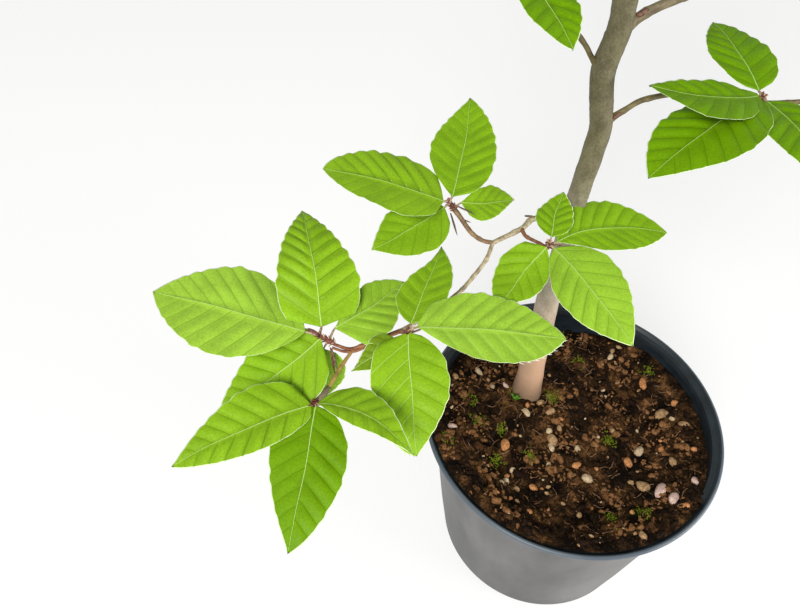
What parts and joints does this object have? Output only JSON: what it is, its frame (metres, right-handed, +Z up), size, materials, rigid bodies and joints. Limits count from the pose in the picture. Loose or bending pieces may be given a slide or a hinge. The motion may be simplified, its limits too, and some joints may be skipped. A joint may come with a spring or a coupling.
{
  "type": "beech tree",
  "caption": "Young beech tree: a slim, gently winding trunk, spreading boughs and lobed masses of pleated leaves, standing in a round tapered nursery pot of soil.",
  "frame": {"origin": "centre of the pot's flat underside, on the surface that the pot stands on", "axes": "+Z up the trunk; the picture looks along +Y and down, so +X is to its right and the long low bough reaches to -X and -Y"},
  "size_m": [0.3069, 0.2566, 0.5893],
  "materials": {
    "pot": "satin moulded plastic, mid grey",
    "soil": "rough, dark moist compost with grit",
    "bark": "smooth grey-olive bark",
    "twig": "smooth tan to red-brown twig bark",
    "foliage": "fresh yellow-green, softly glossy"
  },
  "bodies": {
    "root": {"bough_crown_01": "twig", "bough_crown_02": "twig", "bough_crown_03": "twig", "bough_crown_04": "twig", "bough_crown_05": "twig", "bough_crown_06": "twig", "bough_crown_07": "twig", "bough_crown_08": "twig", "bough_crown_09": "twig", "bough_crown_10": "twig", "bough_left": "twig", "bough_left_back": "twig", "bough_left_front": "twig", "bough_left_outer": "twig", "bough_right": "twig", "bough_upper_left": "twig", "bough_upper_right": "twig", "foliage_crown_01_inner": "foliage", "foliage_crown_01_outer": "foliage", "foliage_crown_02_inner": "foliage", "foliage_crown_02_outer": "foliage", "foliage_crown_03_inner": "foliage", "foliage_crown_03_outer": "foliage", "foliage_crown_04_inner": "foliage", "foliage_crown_04_outer": "foliage", "foliage_crown_05_inner": "foliage", "foliage_crown_05_outer": "foliage", "foliage_crown_06_inner": "foliage", "foliage_crown_06_outer": "foliage", "foliage_crown_07_inner": "foliage", "foliage_crown_07_outer": "foliage", "foliage_crown_08_inner": "foliage", "foliage_crown_08_outer": "foliage", "foliage_crown_09_outer": "foliage", "foliage_crown_10_outer": "foliage", "foliage_leader": "foliage", "foliage_left_back": "foliage", "foliage_left_low": "foliage", "foliage_left_middle": "foliage", "foliage_left_near": "foliage", "foliage_left_outer": "foliage", "foliage_right_inner": "foliage", "foliage_right_outer": "foliage", "foliage_upper_left_inner": "foliage", "foliage_upper_left_outer": "foliage", "foliage_upper_right_inner": "foliage", "foliage_upper_right_outer": "foliage", "pot": "pot", "soil": "soil", "trunk": "bark", "twig_left_low": "twig", "twig_left_middle": "twig", "twig_left_near": "twig"}
  },
  "joints": []
}
